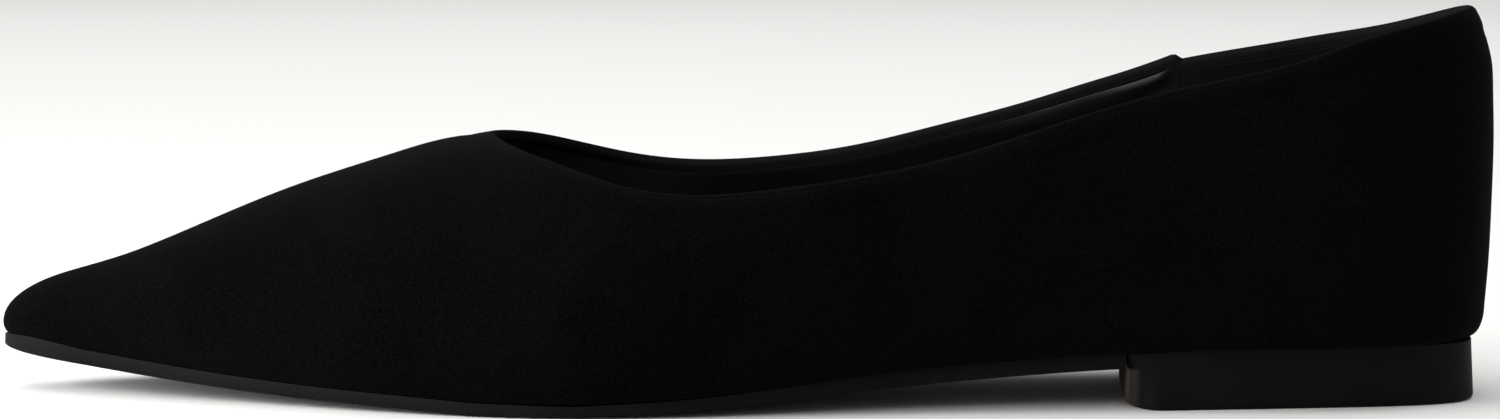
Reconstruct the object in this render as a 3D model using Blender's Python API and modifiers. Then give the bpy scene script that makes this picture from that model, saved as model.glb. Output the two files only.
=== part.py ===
"""A pointed ballet flat for the left foot, built from the pieces a shoemaker puts together.

The shoe stands on its sole, toe to -X and heel to +X, outer side to -Y, inner side to +Y, +Z up.
Sizes and tables are in millimetres; x is measured back from the tip of the toe, z up from the floor.
"""

import math
from collections import namedtuple

import bmesh
import bpy
import numpy as np

# Driving sizes
MM = 0.001
OBJECT_NAME = "ballet_flat"
WALL = 1.8              # suede, stiffener and lining together
GAP = 0.3               # room between pieces that are cemented together
INSOLE = 2.2
MARGIN_TIP = 17.0       # x where the two lasting margins part and the underside opens
THROAT = 86.0           # x of the front of the opening
HEEL_CENTRE = 224.0     # x where the straight sections end and the round of the heel starts
BREAST = 195.9          # x of the heel breast
TIP_Z = 11.6            # height of the very tip of the upper
TOE_ROUND = 16.0        # length over which an inset outline slides back at the toe
NOSE = 3.0              # length over which the underside of the toe rounds up to the tip
SOLE_BEVEL = 2.4        # how far in the underside of the sole starts to turn up to its edge
SOLE_LIP = 0.7          # how high that turn rises
HEEL_FULL = 2.2         # power of the superellipse that rounds the insole at the heel
BLOCK_FULL = 4.2        # and of the squarer one that rounds the heel block
HEEL_ROUND = 0.9        # radius of the lower edge of the heel block
HEEL_FRONT = 2.9        # sides of the heel block at its breast, in from the widest line of the upper
HEEL_TAPER = 0.125      # how far they run in for each millimetre back
HEEL_BACK = 4.3         # its back, at the seat
HEEL_FLARE = 0.5        # how much further back it stands on the floor
BREAST_SLANT = 0.06     # how far the breast runs back for each millimetre to the inner side
SLANT_RUN = 28.0        # length over which that slant fades before and behind the breast
HEEL_CORNER = 5.5       # length of the two rounded front corners of the heel block
CORNER_REACH = 12.0     # how far across they reach on the floor
CORNER_SEAT = 1.2       # and at the seat, where they are almost square
INSOLE_INSET = 3.6
INSOLE_BACK = 1.2       # extra room behind the heel of the insole
INSOLE_FRONT = 13.0

# Steps of the lofts
CURL_STEPS = 3
ROUND_STEPS = 3
WALL_STEPS = 10
FAN_STEPS = 16

# The last, a row for each section: half breadths to each side of the heel line at the widest height,
# the line of the top ridge across, its height, how full the shoulders are, the widest height above the
# feather edge and how far the wall turns under there. Behind the throat the ridge is that of the foot
# form and sets how the walls lean.
Section = namedtuple("Section", "x lateral medial ridge crown full widest curl")
LAST = (
    Section(0.0, -5.0, 5.0, 5.0, 11.6, 2.0, 0.0, 0.0),
    Section(2.8, 0.0, 10.0, 5.0, 16.3, 2.0, 2.6, 2.5),
    Section(9.8, 4.2, 14.0, 4.9, 19.8, 2.0, 4.2, 3.0),
    Section(22.0, 9.7, 19.3, 4.8, 23.5, 2.0, 5.6, 2.9),
    Section(36.0, 15.6, 24.6, 4.8, 29.2, 2.0, 6.6, 2.6),
    Section(52.0, 22.4, 30.0, 4.6, 35.65, 2.05, 7.4, 2.4),
    Section(69.0, 29.4, 34.8, 4.0, 41.2, 2.15, 8.0, 2.3),
    Section(77.5, 32.4, 36.5, 3.5, 43.6, 2.18, 8.2, 2.3),
    Section(86.0, 35.0, 37.8, 3.0, 45.0, 2.2, 8.4, 2.3),
    Section(104.0, 37.9, 37.4, 2.0, 49.4, 2.25, 8.6, 2.4),
    Section(122.0, 37.6, 33.8, 1.0, 53.6, 2.3, 8.8, 2.6),
    Section(147.0, 34.0, 29.4, 0.4, 66.6, 2.3, 9.2, 2.9),
    Section(175.0, 30.6, 27.9, 0.0, 82.0, 2.35, 8.8, 2.8),
    Section(203.0, 29.7, 29.4, 0.0, 80.0, 2.45, 6.8, 2.4),
    Section(224.0, 29.7, 29.7, 0.0, 76.0, 2.5, 5.0, 2.1),
)

# Height of the topline on each side, from the throat to the middle of the back
Topline = namedtuple("Topline", "x lateral medial")
TOPLINE = (
    Topline(86.0, 45.0, 45.0),
    Topline(92.0, 43.4, 44.2),
    Topline(98.0, 41.8, 42.6),
    Topline(108.0, 38.7, 39.9),
    Topline(122.0, 36.9, 38.2),
    Topline(135.0, 37.7, 38.7),
    Topline(150.0, 39.7, 40.7),
    Topline(165.0, 42.8, 44.3),
    Topline(181.0, 47.7, 48.6),
    Topline(198.0, 52.8, 53.85),
    Topline(212.0, 55.8, 57.1),
    Topline(223.0, 58.4, 59.1),
    Topline(235.0, 62.3, 61.3),
    Topline(246.0, 64.9, 63.6),
    Topline(251.5, 66.2, 65.4),
    Topline(255.85, 67.1, 67.1),
)

# Underside of the outsole: toe spring, a flat tread under the ball, then the arch up to the heel seat;
# and the height of the upper's underside above it
Tread = namedtuple("Tread", "x z thick")
TREAD = (
    Tread(0.0, 7.15, 2.4),
    Tread(10.0, 5.6, 2.4),
    Tread(20.0, 4.4, 2.35),
    Tread(36.0, 2.75, 2.4),
    Tread(53.0, 1.5, 2.4),
    Tread(71.0, 0.65, 2.35),
    Tread(84.0, 0.0, 2.3),
    Tread(94.0, -0.35, 2.3),
    Tread(102.0, 0.0, 2.35),
    Tread(122.0, 1.0, 2.6),
    Tread(135.0, 2.0, 2.9),
    Tread(150.0, 3.5, 3.05),
    Tread(173.0, 5.4, 3.15),
    Tread(190.0, 6.6, 3.1),
    Tread(210.0, 7.4, 3.1),
    Tread(224.0, 7.6, 3.0),
    Tread(262.0, 7.6, 3.0),
)

# Line of the back of the heel, seen from the side
Back = namedtuple("Back", "z x")
BACK = (
    Back(13.0, 258.2),
    Back(17.6, 258.6),
    Back(24.0, 259.05),
    Back(34.0, 259.4),
    Back(45.0, 259.6),
    Back(53.0, 259.4),
    Back(58.0, 259.0),
    Back(61.5, 258.1),
    Back(64.5, 257.2),
    Back(67.1, 255.85),
)
BACK_X = max(row.x for row in BACK)

# How far the edge of the outsole lies in from the widest line of the upper
Edge = namedtuple("Edge", "x lateral medial")
SOLE_EDGE = (
    Edge(0.0, 0.2, 0.2),
    Edge(3.0, 0.7, 0.7),
    Edge(9.0, 1.1, 1.1),
    Edge(22.0, 1.3, 1.3),
    Edge(60.0, 1.5, 1.5),
    Edge(95.0, 1.7, 1.9),
    Edge(125.0, 3.2, 4.0),
    Edge(155.0, 4.8, 5.8),
    Edge(197.0, 4.2, 4.6),
)


def spline(places, values, bend=lambda place: place):
    """Natural cubic spline through (place, value) pairs, worked out along bend(place)."""
    knots = np.array([bend(place) for place in places])
    values = np.array(values)
    step = np.diff(knots)
    slope = np.diff(values) / step
    count = len(knots)
    matrix = np.eye(count)
    right = np.zeros(count)
    for i in range(1, count - 1):
        matrix[i, i - 1 : i + 2] = step[i - 1], 2 * (step[i - 1] + step[i]), step[i]
        right[i] = 6 * (slope[i] - slope[i - 1])
    curvature = np.linalg.solve(matrix, right)

    def value(place):
        at = min(max(bend(place), knots[0]), knots[-1])
        i = min(int(np.searchsorted(knots, at, side="right")) - 1, count - 2)
        after = (at - knots[i]) / step[i]
        before = 1 - after
        blend = (before**3 - before) * curvature[i] + (after**3 - after) * curvature[i + 1]
        return float(before * values[i] + after * values[i + 1] + blend * step[i] ** 2 / 6)

    return value


def column(rows, name, bend=lambda place: place):
    """Spline of one named column of a table over its first column."""
    return spline([row[0] for row in rows], [getattr(row, name) for row in rows], bend)


# The last runs along the square root of x, which rounds the tip of the toe
lateral = column(LAST, "lateral", math.sqrt)
medial = column(LAST, "medial", math.sqrt)
ridge = column(LAST, "ridge", math.sqrt)
crown = column(LAST, "crown", math.sqrt)
full = column(LAST, "full", math.sqrt)
widest = column(LAST, "widest", math.sqrt)
turn = column(LAST, "curl", math.sqrt)
top_lateral = column(TOPLINE, "lateral")
top_medial = column(TOPLINE, "medial")
tread_line = column(TREAD, "z")
sole_thick = column(TREAD, "thick")
back_line = column(BACK, "x")
edge_lateral = column(SOLE_EDGE, "lateral")
edge_medial = column(SOLE_EDGE, "medial")


def tread(x):
    """Underside of the outsole, flat on the floor under the ball."""
    return max(0.0, tread_line(x))


def feather(x):
    """Underside of the upper: on the sole, and rounded up to the tip at the toe."""
    nose = max(0.0, 1.0 - math.sqrt(x / NOSE))
    return tread(x) + sole_thick(x) + (TIP_Z - tread(0.0) - sole_thick(0.0)) * nose**2


def breadth(x, side):
    """Half breadth of a section from the ridge line to its widest point, side -1 outer and +1 inner."""
    return max(0.0, lateral(x) + ridge(x) if side < 0 else medial(x) - ridge(x))


def opening(x, side):
    """Half breadth of the open underside, from the ridge line to the edge of the lasting margin."""
    return max(0.0, breadth(x, side) - breadth(MARGIN_TIP, side))


def curl(x, side):
    """How far the wall turns under at the feather edge."""
    return min(turn(x), 0.7 * breadth(x, side))


def under_z(x, side, y):
    """Height of the underside of the upper above a point in plan."""
    turned = curl(x, side)
    inset = breadth(x, side) - side * (y - ridge(x))
    reach = min(max((turned - inset) / turned, 0.0), 1.0) if turned > 0 else 0.0
    return feather(x) + widest(x) * (1 - math.sqrt(1 - reach**2))


def shoulder(x, reach):
    """Share of the breadth and of the height left at one angle of the rounded section."""
    power = 2 / full(x)
    return max(math.cos(reach), 0.0) ** power, math.sin(reach) ** power


def top_angle(x, height):
    """Angle at which a section reaches the height of the topline."""
    low = feather(x) + widest(x)
    share = (height - low) / (crown(x) - low)
    return math.asin(min(1.0, share) ** (full(x) / 2))


def section(x, side, top):
    """Points (out, up) of one side of the upper: lasting margin, turn, wall, up to the angle top."""
    out = breadth(x, side)
    turned = curl(x, side)
    low = feather(x)
    rows = [(min(opening(x, side), out - turned), low)]
    for i in range(CURL_STEPS):
        angle = math.pi / 2 * (1 - i / CURL_STEPS)
        rows.append((out - turned * (1 - math.cos(angle)), low + widest(x) * (1 - math.sin(angle))))
    rise = crown(x) - low - widest(x)
    for i in range(WALL_STEPS + 1):
        share_out, share_up = shoulder(x, top * i / WALL_STEPS)
        rows.append((out * share_out, low + widest(x) + rise * share_up))
    return rows


def side_column(x, side):
    """One cross-section of the upper on one side, as points in the shoe's frame."""
    height = top_lateral(x) if side < 0 else top_medial(x)
    top = math.pi / 2 if x <= THROAT else top_angle(x, height)
    return [(x, ridge(x) + side * out, up) for out, up in section(x, side, top)]


def heel_column(angle):
    """One upright section round the heel: side wall and back line blended as the axes of an ellipse."""
    side = -1 if angle > 0 else 1
    x = HEEL_CENTRE + (BACK_X - HEEL_CENTRE) * math.cos(angle)
    for _ in range(6):
        height = top_lateral(x) if side < 0 else top_medial(x)
        x = HEEL_CENTRE + (back_line(height) - HEEL_CENTRE) * math.cos(angle)
    rows = section(HEEL_CENTRE, side, top_angle(HEEL_CENTRE, height))
    wide = feather(HEEL_CENTRE) + widest(HEEL_CENTRE)
    points = []
    for out, up in rows:
        tucked = breadth(HEEL_CENTRE, side) - out if up < wide else 0.0
        back = back_line(max(up, wide)) - HEEL_CENTRE - tucked
        points.append((HEEL_CENTRE + back * math.cos(angle), -out * math.sin(angle), up))
    return points


def outline(x, inset_lateral, inset_medial, inset, full_back=HEEL_FULL):
    """The plan of the shoe moved inwards at each side, and at the tip and the back by the last inset."""
    if x > HEEL_CENTRE:
        reach = BACK_X - HEEL_CENTRE
        share = max(0.0, 1 - ((x - HEEL_CENTRE) / reach) ** full_back) ** (1 / full_back)
        moved = HEEL_CENTRE + (x - HEEL_CENTRE) * (reach - inset) / reach
        outer = (lateral(HEEL_CENTRE) - inset_lateral) * share
        inner = (medial(HEEL_CENTRE) - inset_medial) * share
        return moved, -outer, inner
    toe = max(0.0, 1.0 - x / TOE_ROUND)
    outer = lateral(x) - inset_lateral * (1 - toe)
    inner = medial(x) - inset_medial * (1 - toe)
    return x + inset * toe, -outer, inner


def material(name, colour, roughness):
    made = bpy.data.materials.new(name)
    made.use_nodes = True
    shader = made.node_tree.nodes["Principled BSDF"]
    shader.inputs["Base Color"].default_value = (*colour, 1.0)
    shader.inputs["Roughness"].default_value = roughness
    return made


def finish(name, mesh_data, shade, collection):
    """Turn a bmesh into a named object of the assembly."""
    bmesh.ops.remove_doubles(mesh_data, verts=mesh_data.verts[:], dist=1e-7)
    mesh = bpy.data.meshes.new(name)
    mesh_data.to_mesh(mesh)
    mesh_data.free()
    mesh.materials.append(shade)
    made = bpy.data.objects.new(name, mesh)
    collection.objects.link(made)
    return made


def shell(name, columns, tip, shade, collection):
    """Skin over upright columns of points that run from the tip round the heel and back to the tip."""
    mesh_data = bmesh.new()
    pole = mesh_data.verts.new([MM * value for value in tip])
    grid = [[mesh_data.verts.new([MM * value for value in point]) for point in points] for points in columns]
    rows = len(grid[0]) - 1
    for left, right in zip(grid, grid[1:]):
        for i in range(rows):
            mesh_data.faces.new((left[i], right[i], right[i + 1], left[i + 1]))
    for i in range(rows):
        mesh_data.faces.new((pole, grid[0][i], grid[0][i + 1]))
        mesh_data.faces.new((grid[-1][i], pole, grid[-1][i + 1]))
    return finish(name, mesh_data, shade, collection)


def slant(x):
    """How far a point runs back for each millimetre to the inner side, most at the breast."""
    return BREAST_SLANT * max(0.0, 1.0 - abs(x - BREAST) / SLANT_RUN)


def plate(name, stations, levels, shade, collection):
    """Stack of outlines, lowest first: each level gives the outer and the inner point at a station."""
    mesh_data = bmesh.new()
    sides = []
    for level in levels:
        outer, inner = [], []
        for station in stations:
            outer_point, inner_point = level(station)
            outer.append(mesh_data.verts.new([MM * value for value in outer_point]))
            inner.append(mesh_data.verts.new([MM * value for value in inner_point]))
        sides.append((outer, inner))
    last = len(stations) - 1
    for (low_outer, low_inner), (high_outer, high_inner) in zip(sides, sides[1:]):
        for i in range(last):
            mesh_data.faces.new((low_outer[i], low_outer[i + 1], high_outer[i + 1], high_outer[i]))
            mesh_data.faces.new((low_inner[i + 1], low_inner[i], high_inner[i], high_inner[i + 1]))
        mesh_data.faces.new((low_inner[0], low_outer[0], high_outer[0], high_inner[0]))
        mesh_data.faces.new((low_outer[last], low_inner[last], high_inner[last], high_outer[last]))
    (bottom_outer, bottom_inner), (top_outer, top_inner) = sides[0], sides[-1]
    for i in range(last):
        mesh_data.faces.new((bottom_outer[i], bottom_inner[i], bottom_inner[i + 1], bottom_outer[i + 1]))
        mesh_data.faces.new((top_outer[i], top_outer[i + 1], top_inner[i + 1], top_inner[i]))
    return finish(name, mesh_data, shade, collection)


def stretch(start, end, count):
    """Evenly spaced stations from start to end, both included."""
    return [start + (end - start) * i / count for i in range(count + 1)]


def toe_stations(front, end, count):
    """Stations crowded towards a round front."""
    return [front + (end - front) * (i / count) ** 2 for i in range(count + 1)]


def heel_stations(count):
    """Stations crowded towards the round back of the heel."""
    reach = BACK_X - HEEL_CENTRE
    return [HEEL_CENTRE + reach * math.sin(math.pi / 2 * i / count) for i in range(count + 1)]


for old in list(bpy.data.objects):
    bpy.data.objects.remove(old, do_unlink=True)
shoe = bpy.data.collections.new(OBJECT_NAME)
bpy.context.scene.collection.children.link(shoe)
suede = material("suede", (0.012, 0.012, 0.012), 0.95)
rubber = material("rubber", (0.03, 0.03, 0.03), 0.6)
board = material("insole board", (0.02, 0.02, 0.02), 0.8)

# Upper: the last's own surface, given its wall inwards
front = toe_stations(0.0, MARGIN_TIP, 5)[1:] + stretch(MARGIN_TIP, THROAT, 9)[1:]
throat = [THROAT + (110.0 - THROAT) * (i / 6) ** 2 for i in range(1, 7)]
quarters = stretch(110.0, HEEL_CENTRE, 12)[1:]
upper_stations = front + throat + quarters
columns = [side_column(x, -1) for x in upper_stations]
columns += [heel_column(math.pi / 2 - math.pi * i / FAN_STEPS) for i in range(1, FAN_STEPS)]
columns += [side_column(x, 1) for x in reversed(upper_stations)]
upper = shell("upper", columns, (0.0, ridge(0.0), TIP_Z), suede, shoe)
wall = upper.modifiers.new("wall", "SOLIDIFY")
wall.thickness = MM * WALL
wall.offset = -1.0
wall.use_even_offset = True
wall.use_quality_normals = True


def sole_level(extra, height):
    """One outline of the outsole: a further inset, and a height worked out from x, side and y."""

    def level(x):
        inset = edge_lateral(x) + extra(x)
        moved, outer, inner = outline(x, inset, edge_medial(x) + extra(x), inset)
        outer_x = moved + slant(moved) * outer
        inner_x = moved + slant(moved) * inner
        return (outer_x, outer, height(outer_x, -1, outer)), (inner_x, inner, height(inner_x, 1, inner))

    return level


def under_upper(x, side, y):
    return under_z(x, side, y) - GAP


def cup(x):
    """Breadth of the rim of the outsole that follows the turn of the upper."""
    return max(0.4, turn(x) - edge_lateral(x) + 0.2)


# Outsole: thin, sprung at the toe, arched at the waist, its edge cupped round the turn of the upper
sole_stations = toe_stations(0.0, 18.0, 6) + stretch(18.0, 84.0, 8)[1:]
sole_stations += stretch(84.0, 102.0, 2)[1:] + stretch(102.0, BREAST - GAP, 9)[1:]
outsole = plate(
    "outsole",
    sole_stations,
    (
        sole_level(lambda x: SOLE_BEVEL, lambda x, side, y: tread(x)),
        sole_level(lambda x: 0.25 * SOLE_BEVEL, lambda x, side, y: tread(x) + 0.4 * SOLE_LIP),
        sole_level(lambda x: 0.0, lambda x, side, y: tread(x) + SOLE_LIP),
        sole_level(lambda x: 0.1, under_upper),
        sole_level(lambda x: 0.5 * cup(x), under_upper),
        sole_level(cup, under_upper),
    ),
    rubber,
    shoe,
)


def heel_level(extra, rise, height):
    """One outline of the heel block, rise 0 on the floor and 1 at the seat, height worked out from x."""
    flare = HEEL_FLARE * (1 - rise)
    reach = CORNER_REACH + (CORNER_SEAT - CORNER_REACH) * rise

    def level(x):
        ahead = max(0.0, (HEEL_CENTRE - x) / (HEEL_CENTRE - BREAST))
        inset = HEEL_FRONT + HEEL_TAPER * (x - BREAST) + extra
        moved, outer, inner = outline(x, inset, inset, HEEL_BACK - flare + extra, BLOCK_FULL)
        if x < HEEL_CENTRE:
            moved = x + extra * ahead
        short = max(0.0, 1 - (x - BREAST) / HEEL_CORNER)
        cut = reach * (1 - math.sqrt(1 - short**2))
        outer_x = moved + slant(x) * (outer + cut)
        inner_x = moved + slant(x) * (inner - cut)
        return (outer_x, outer + cut, height(outer_x)), (inner_x, inner - cut, height(inner_x))

    return level


def rounded_level(step):
    """One outline of the rounded lower edge of the heel block, step 0 on the floor."""
    angle = math.pi / 2 * step / ROUND_STEPS
    rounded = HEEL_ROUND * (1 - math.sin(angle))
    return heel_level(rounded, 0.0, lambda x: HEEL_ROUND * (1 - math.cos(angle)))


# Heel block: flat below, straight breast, round back, its seat following the upper
block_stations = [BREAST + HEEL_CORNER * (i / 4) ** 2 for i in range(5)]
block_stations += stretch(BREAST + HEEL_CORNER, HEEL_CENTRE, 3)[1:] + heel_stations(9)[1:]
heel_block = plate(
    "heel_block",
    block_stations,
    [rounded_level(step) for step in range(ROUND_STEPS + 1)]
    + [heel_level(0.0, 1.0, lambda x: feather(x) - GAP)],
    rubber,
    shoe,
)


def insole_level(extra, rise):
    """One outline of the insole, a rise above the top of the lasting margin."""

    def level(x):
        inset = INSOLE_INSET + extra
        moved, outer, inner = outline(x, inset, inset, inset + INSOLE_BACK)
        height = feather(moved) + WALL + GAP + rise
        return (moved, outer, height), (moved, inner, height)

    return level


# Insole: lies on the lasting margin, just clear of the walls
board_stations = toe_stations(INSOLE_FRONT, 30.0, 3) + stretch(30.0, 84.0, 5)[1:]
board_stations += stretch(84.0, 102.0, 2)[1:] + stretch(102.0, HEEL_CENTRE, 9)[1:] + heel_stations(9)[1:]
insole = plate(
    "insole",
    board_stations,
    (insole_level(0.8, 0.0), insole_level(0.0, INSOLE)),
    board,
    shoe,
)

# Stand the assembly on the floor with the middle of its box over the origin
bpy.context.view_layer.update()
corners = [corner for piece in shoe.objects for corner in piece.bound_box]
low = np.min(corners, axis=0)
high = np.max(corners, axis=0)
stand = bpy.data.objects.new("stand", None)
stand.location = (-(low[0] + high[0]) / 2, -(low[1] + high[1]) / 2, -low[2])
shoe.objects.link(stand)
for piece in (upper, outsole, heel_block, insole):
    piece.parent = stand
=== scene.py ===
"""Looks of a pointed ballet flat for the left foot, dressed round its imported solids.

Sizes are in millimetres in the last's own frame: x back from the tip of the toe, y from the heel line to
the inner side of the foot, z up from the floor. place() turns them into the shoe's frame in metres.
"""

import math

import bmesh
import bpy
import numpy as np
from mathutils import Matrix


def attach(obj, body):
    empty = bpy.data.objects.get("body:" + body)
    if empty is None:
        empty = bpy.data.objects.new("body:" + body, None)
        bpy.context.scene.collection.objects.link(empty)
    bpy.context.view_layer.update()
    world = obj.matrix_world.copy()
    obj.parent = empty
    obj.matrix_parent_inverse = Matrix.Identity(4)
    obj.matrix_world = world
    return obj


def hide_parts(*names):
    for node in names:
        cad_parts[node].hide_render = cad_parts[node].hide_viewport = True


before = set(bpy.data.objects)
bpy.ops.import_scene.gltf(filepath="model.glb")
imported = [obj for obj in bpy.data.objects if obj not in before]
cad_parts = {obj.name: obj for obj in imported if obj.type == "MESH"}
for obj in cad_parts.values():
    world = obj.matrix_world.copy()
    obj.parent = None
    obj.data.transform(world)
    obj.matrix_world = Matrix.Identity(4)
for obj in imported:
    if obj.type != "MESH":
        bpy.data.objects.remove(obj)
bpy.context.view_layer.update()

# Upper
# One piece of black micro-suede, a polyamide microfibre with a brushed nap, closed at the back, pulled over
# the last and cemented under the insole. Its top edge is folded over to the inside.
MM = 0.001              # in metres
HALF_PI = math.pi / 2
SUEDE = 0.8             # thickness of the sheet
FOLD = 0.95             # radius of the folded top edge: half of suede, stiffener and lining together
FOLD_DROP = 0.5         # how far below the topline the roll of the fold starts
FOLD_DEPTH = 1.05       # how far the folded edge reaches down the inside
HEM = 4.2               # how far the turned-in edge reaches down between suede and lining
HEM_GROOVE = 0.14       # depth of the line it presses into the suede
CRISP = 0.06            # distance of an extra row of points that keeps a cut edge crisp
RIM_LIGHT = 0.09            # how much painted light, a paler suede tone for the light the roll catches, lies along the outer top edge
RIM_LIGHT_WIDE = 1.4        # and how far down the outside
MARGIN_TIP = 17.0       # x where the two lasting margins part and the underside opens
HEEL_CENTRE = 224.0     # x where the straight sections end and the round of the heel starts
OPEN_END = 110.0        # x where the crowded columns round the throat end
TIP_Z = 11.6            # height of the very tip of the upper
NOSE = 3.0              # length over which the underside of the toe rounds up to the tip
TURN_MOST = 0.7         # largest share of the half breadth that turns under
THROAT_FLAT = 85.0      # x of the throat, where the wall beside the opening lies flat
THROAT_UP = 95.0        # and x where it stands up
THROAT_SHARE = 0.2      # share of a lowering of the topline that counts where the wall lies flat
CORNER_END = 207.0      # x where the lining ends on the inner side, with a corner that stands up
CORNER_RISE = 1.15      # how high it stands
CORNER_RUN = 12.0       # length of its rise
CORNER_FALL = 1.3       # and of its fall
CORNER_NEAR = 3.0       # distance from it within which the columns of points are crowded


def table(names, *rows):
    """The columns of a small table by name, as arrays."""
    return dict(zip(names.split(), np.array(rows, float).T))


def spline(places, values, bend=np.asarray):
    """Natural cubic spline through pairs of place and value, worked out along bend(place)."""
    knots = bend(places)
    step = np.diff(knots)
    slope = np.diff(values) / step
    inner = np.arange(1, len(knots) - 1)
    matrix = np.eye(len(knots))
    matrix[inner, inner - 1] = step[:-1]
    matrix[inner, inner] = 2 * (step[:-1] + step[1:])
    matrix[inner, inner + 1] = step[1:]
    right = np.zeros(len(knots))
    right[inner] = 6 * np.diff(slope)
    curvature = np.linalg.solve(matrix, right)

    def value(place):
        at = np.clip(bend(np.maximum(place, places[0])), knots[0], knots[-1])
        i = np.clip(np.searchsorted(knots, at, side="right") - 1, 0, len(step) - 1)
        after = (at - knots[i]) / step[i]
        before = 1 - after
        bow = (before**3 - before) * curvature[i] + (after**3 - after) * curvature[i + 1]
        return before * values[i] + after * values[i + 1] + bow * step[i] ** 2 / 6

    return value


# The last: half breadths to each side of the heel line at the widest height, the line of the top ridge
# across, its height, how full the shoulders are, the widest height above the feather edge and how far the
# section turns under
LAST = table(
    "x lateral medial ridge crown full widest turn",
    (0.0, -5.0, 5.0, 5.0, 11.6, 2.0, 0.0, 0.0),
    (2.8, 0.0, 10.0, 5.0, 16.3, 2.0, 2.6, 2.5),
    (9.8, 4.2, 14.0, 4.9, 19.8, 2.0, 4.2, 3.0),
    (22.0, 9.7, 19.3, 4.8, 23.5, 2.0, 5.6, 2.9),
    (36.0, 15.6, 24.6, 4.8, 29.2, 2.0, 6.6, 2.6),
    (52.0, 22.4, 30.0, 4.6, 35.65, 2.05, 7.4, 2.4),
    (69.0, 29.4, 34.8, 4.0, 41.2, 2.15, 8.0, 2.3),
    (77.5, 32.4, 36.5, 3.5, 43.6, 2.18, 8.2, 2.3),
    (86.0, 35.0, 37.8, 3.0, 45.0, 2.2, 8.4, 2.3),
    (104.0, 37.9, 37.4, 2.0, 49.4, 2.25, 8.6, 2.4),
    (122.0, 37.6, 33.8, 1.0, 53.6, 2.3, 8.8, 2.6),
    (147.0, 34.0, 29.4, 0.4, 66.6, 2.3, 9.2, 2.9),
    (175.0, 30.6, 27.9, 0.0, 82.0, 2.35, 8.8, 2.8),
    (203.0, 29.7, 29.4, 0.0, 80.0, 2.45, 6.8, 2.4),
    (224.0, 29.7, 29.7, 0.0, 76.0, 2.5, 5.0, 2.1),
)
# Height of the topline on each side, from the throat to the middle of the back
TOPLINE = table(
    "x lateral medial",
    (86.0, 45.0, 45.0),
    (92.0, 43.4, 44.2),
    (98.0, 41.8, 42.6),
    (108.0, 38.7, 39.9),
    (122.0, 36.9, 38.2),
    (135.0, 37.7, 38.7),
    (150.0, 39.7, 40.7),
    (165.0, 42.8, 44.3),
    (181.0, 47.7, 48.6),
    (198.0, 52.8, 53.85),
    (212.0, 55.8, 57.1),
    (223.0, 58.4, 59.1),
    (235.0, 62.3, 61.3),
    (246.0, 64.9, 63.6),
    (251.5, 66.2, 65.4),
    (255.85, 67.1, 67.1),
)
# Underside of the outsole and the height of the upper's underside above it
TREAD = table(
    "x z thick",
    (0.0, 7.15, 2.4),
    (10.0, 5.6, 2.4),
    (20.0, 4.4, 2.35),
    (36.0, 2.75, 2.4),
    (53.0, 1.5, 2.4),
    (71.0, 0.65, 2.35),
    (84.0, 0.0, 2.3),
    (94.0, -0.35, 2.3),
    (102.0, 0.0, 2.35),
    (122.0, 1.0, 2.6),
    (135.0, 2.0, 2.9),
    (150.0, 3.5, 3.05),
    (173.0, 5.4, 3.15),
    (190.0, 6.6, 3.1),
    (210.0, 7.4, 3.1),
    (224.0, 7.6, 3.0),
    (262.0, 7.6, 3.0),
)
# Line of the back of the heel, seen from the side
BACK = table(
    "z x",
    (13.0, 258.2),
    (17.6, 258.6),
    (24.0, 259.05),
    (34.0, 259.4),
    (45.0, 259.6),
    (53.0, 259.4),
    (58.0, 259.0),
    (61.5, 258.1),
    (64.5, 257.2),
    (67.1, 255.85),
)
lateral, medial, ridge, crown, full, widest, turn = (
    spline(LAST["x"], LAST[name], np.sqrt)
    for name in ("lateral", "medial", "ridge", "crown", "full", "widest", "turn")
)
top_lateral = spline(TOPLINE["x"], TOPLINE["lateral"])
top_medial = spline(TOPLINE["x"], TOPLINE["medial"])
tread_line = spline(TREAD["x"], TREAD["z"])
sole_thick = spline(TREAD["x"], TREAD["thick"])
back_line = spline(BACK["z"], BACK["x"])
BACK_REACH = BACK["x"].max() - HEEL_CENTRE


def ease(value, start, end):
    """Smooth step from 0 at start to 1 at end: 3t^2 - 2t^3."""
    t = np.clip((value - start) / (end - start), 0.0, 1.0)
    return t * t * (3 - 2 * t)


def tread(x):
    """Underside of the outsole, flat on the floor under the ball."""
    return np.maximum(0.0, tread_line(x))


def feather(x):
    """Underside of the upper: on the sole, and rounded up to the tip at the toe."""
    nose = np.maximum(0.0, 1.0 - np.sqrt(x / NOSE))
    return tread(x) + sole_thick(x) + (TIP_Z - tread(0.0) - sole_thick(0.0)) * nose**2


def half_breadth(x, side):
    """From the ridge line to the widest point of a section, side -1 outer and +1 inner."""
    return np.maximum(0.0, np.where(side < 0, lateral(x) + ridge(x), medial(x) - ridge(x)))


def last_point(x, angle, side, reach):
    """The last's surface. Section x is an ellipse that turns under for reach from -90 degrees to 0 and a
    superellipse above; reach below -90 degrees runs across the lasting margin. angle swings the section
    about the heel: 90 degrees at the outer side, 0 at the back, -90 degrees at the inner side."""
    breadth = half_breadth(x, side)
    turned = np.minimum(turn(x), TURN_MOST * breadth)
    wide = feather(x) + widest(x)
    under = np.clip(reach, -HALF_PI, 0.0)
    wall = np.clip(reach, 0.0, HALF_PI)
    power = 2 / full(x)
    out = breadth * np.cos(wall) ** power - turned * (1 - np.cos(under))
    up = wide + widest(x) * np.sin(under) + (crown(x) - wide) * np.sin(wall) ** power
    edge = np.minimum(np.maximum(0.0, breadth - half_breadth(MARGIN_TIP, side)), breadth - turned)
    out = out + (edge - out) * np.clip(-HALF_PI - reach, 0.0, 1.0)
    tucked = np.where(up < wide, breadth - out, 0.0)
    back = back_line(np.maximum(up, wide)) - HEEL_CENTRE - tucked
    return np.stack([x + back * np.cos(angle), ridge(x) - out * np.sin(angle), up], -1)


def unit(vectors):
    """Vectors divided by their own length."""
    return vectors / np.maximum(np.linalg.norm(vectors, axis=-1, keepdims=True), 1e-12)


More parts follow.
